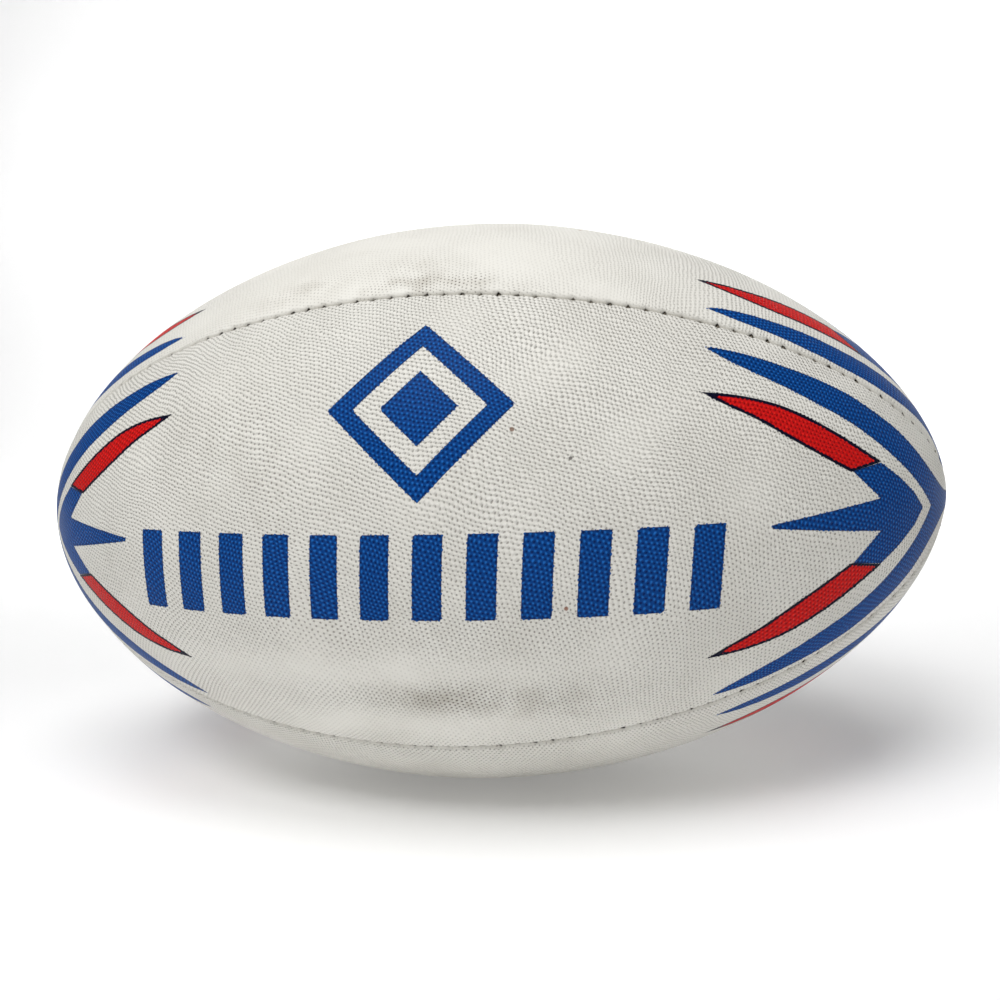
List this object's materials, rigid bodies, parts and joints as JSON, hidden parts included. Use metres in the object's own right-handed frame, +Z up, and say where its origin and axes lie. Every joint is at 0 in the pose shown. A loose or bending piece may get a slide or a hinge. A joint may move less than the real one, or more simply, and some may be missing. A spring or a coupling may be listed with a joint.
{
  "type": "rugby ball",
  "caption": "Full-size training rugby ball, white pimpled rubber panels with blue and red flame marks at both tips.",
  "frame": {"origin": "centre of the ball", "axes": "+X along the ball's length, +Z up, the front panel faces -Y and the valve faces +Y"},
  "size_m": [0.298, 0.1811, 0.1812],
  "materials": {
    "pimpled_rubber": "matte, pimpled, off-white with printed blue and red marks",
    "backing_cloth": "rubber-proofed polyester and cotton weave",
    "waxed_thread": "waxed polyester thread",
    "butyl": "smooth",
    "valve_rubber": "smooth, soft"
  },
  "bodies": {
    "root": {"cover_front": "pimpled_rubber", "cover_bottom": "pimpled_rubber", "cover_back": "pimpled_rubber", "cover_top": "pimpled_rubber", "ply_1_front": "backing_cloth", "ply_1_bottom": "backing_cloth", "ply_1_back": "backing_cloth", "ply_1_top": "backing_cloth", "ply_2_front": "backing_cloth", "ply_2_bottom": "backing_cloth", "ply_2_back": "backing_cloth", "ply_2_top": "backing_cloth", "ply_3_front": "backing_cloth", "ply_3_bottom": "backing_cloth", "ply_3_back": "backing_cloth", "ply_3_top": "backing_cloth", "thread_front_top": "waxed_thread", "thread_front_bottom": "waxed_thread", "thread_back_bottom": "waxed_thread", "thread_back_top": "waxed_thread", "bladder": "butyl", "valve_seat": "butyl", "valve_insert": "valve_rubber"}
  },
  "joints": []
}
